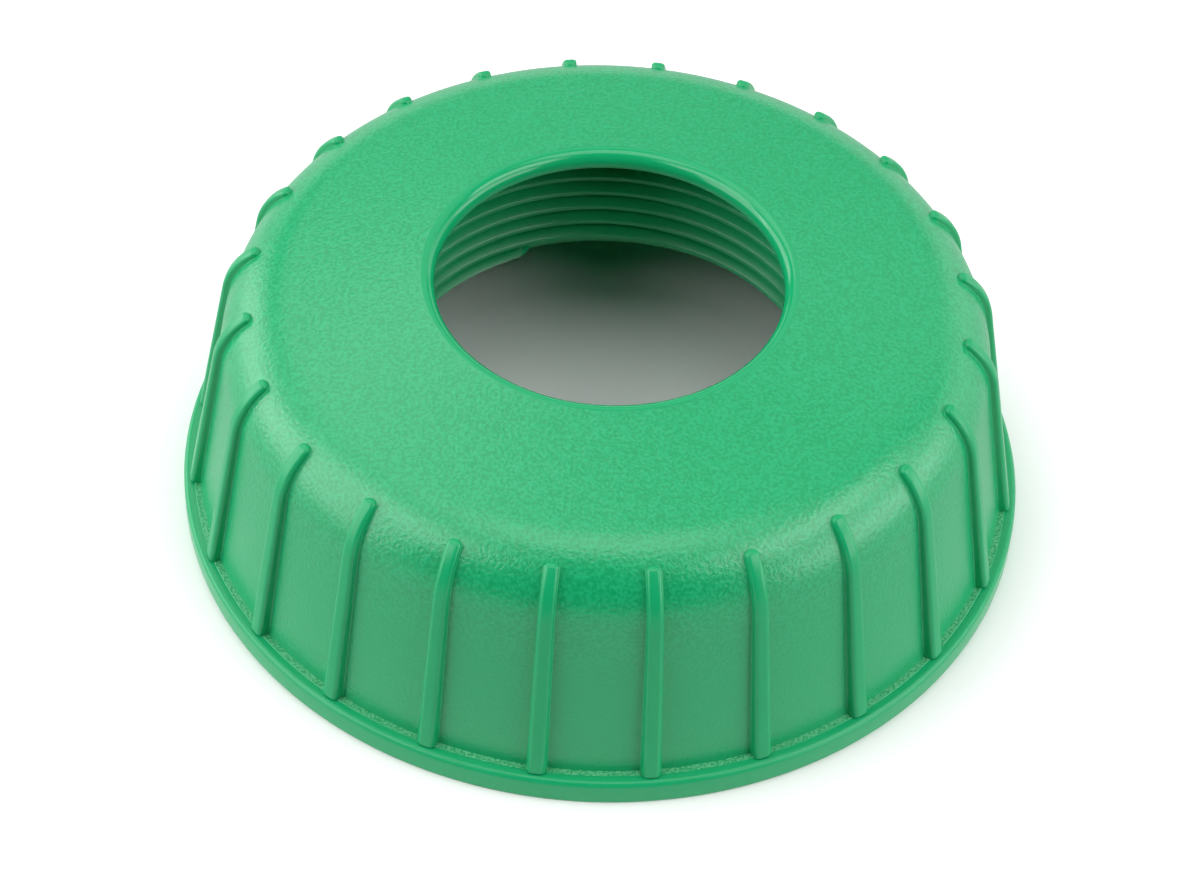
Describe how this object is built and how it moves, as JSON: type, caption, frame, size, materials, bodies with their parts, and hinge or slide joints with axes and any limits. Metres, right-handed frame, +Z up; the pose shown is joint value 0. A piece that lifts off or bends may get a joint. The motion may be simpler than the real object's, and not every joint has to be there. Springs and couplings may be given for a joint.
{
  "type": "wasp trap screw cap",
  "caption": "Domed green plastic ring cap with a wide entry hole, a threaded collar underneath, a flat base rim and straight grip ribs; it closes the jar of a wasp trap.",
  "frame": {"origin": "centre of the base rim's underside, on the axis of the cap", "axes": "+Z up along the cap's axis towards the entry hole, -Y the front"},
  "size_m": [0.12, 0.12, 0.0398],
  "materials": {
    "shell_matt": "moulded green polypropylene with a fine spark-eroded matt grain",
    "trim_smooth": "moulded green polypropylene, smooth satin",
    "lip_gloss": "moulded green polypropylene, polished"
  },
  "bodies": {
    "root": {"cap_shell": "shell_matt", "base_rim": "trim_smooth", "entry_lip": "lip_gloss", "threaded_collar": "trim_smooth", "grip_rib_01": "trim_smooth", "grip_rib_02": "trim_smooth", "grip_rib_03": "trim_smooth", "grip_rib_04": "trim_smooth", "grip_rib_05": "trim_smooth", "grip_rib_06": "trim_smooth", "grip_rib_07": "trim_smooth", "grip_rib_08": "trim_smooth", "grip_rib_09": "trim_smooth", "grip_rib_10": "trim_smooth", "grip_rib_11": "trim_smooth", "grip_rib_12": "trim_smooth", "grip_rib_13": "trim_smooth", "grip_rib_14": "trim_smooth", "grip_rib_15": "trim_smooth", "grip_rib_16": "trim_smooth", "grip_rib_17": "trim_smooth", "grip_rib_18": "trim_smooth", "grip_rib_19": "trim_smooth", "grip_rib_20": "trim_smooth", "grip_rib_21": "trim_smooth", "grip_rib_22": "trim_smooth", "grip_rib_23": "trim_smooth", "grip_rib_24": "trim_smooth"}
  },
  "joints": []
}
